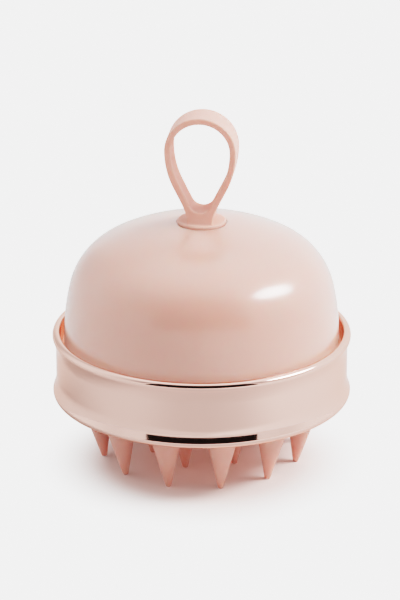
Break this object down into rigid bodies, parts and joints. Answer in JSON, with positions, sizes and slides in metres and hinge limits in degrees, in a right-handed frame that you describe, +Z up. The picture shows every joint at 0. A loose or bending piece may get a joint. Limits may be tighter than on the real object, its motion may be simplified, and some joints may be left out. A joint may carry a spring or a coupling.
{
  "type": "scalp massager brush",
  "caption": "Palm-held scalp massager brush: glossy dome with a plated waisted band, soft cone bristles below and a soft swivelling finger loop on top.",
  "frame": {"origin": "on the axis, in the plane of the bristle tips that the brush stands on", "axes": "+Z up along the axis from the bristles to the finger loop; the loop lies in the XZ plane at rest, so a finger goes through it along Y"},
  "size_m": [0.085, 0.085, 0.1014],
  "materials": {
    "loop_silicone": "soft satin silicone, pale pink",
    "brass_insert": "turned",
    "nylon_white": "natural nylon",
    "screw_steel": "zinc plated",
    "dome_gloss": "high gloss moulding, pale pink",
    "rose_plate": "rose gold plating on plastic, mirror",
    "plate_plastic": "plain moulding, pale pink",
    "seal_rubber": "matt",
    "pad_silicone": "soft satin silicone, pink"
  },
  "bodies": {
    "brush": {"dome_shell": "dome_gloss", "plated_ring": "rose_plate", "base_plate": "plate_plastic", "seal_ring": "seal_rubber", "base_screws": "screw_steel", "bristle_pad": "pad_silicone"},
    "loop": {"finger_loop": "loop_silicone", "loop_insert": "brass_insert", "loop_washer": "nylon_white", "loop_screw": "screw_steel"}
  },
  "joints": [
    {"name": "loop_swivel", "type": "hinge", "parent": "brush", "child": "loop", "pos_m": [0, 0, 0.06935], "axis": [0, 0, 1], "continuous": true}
  ]
}
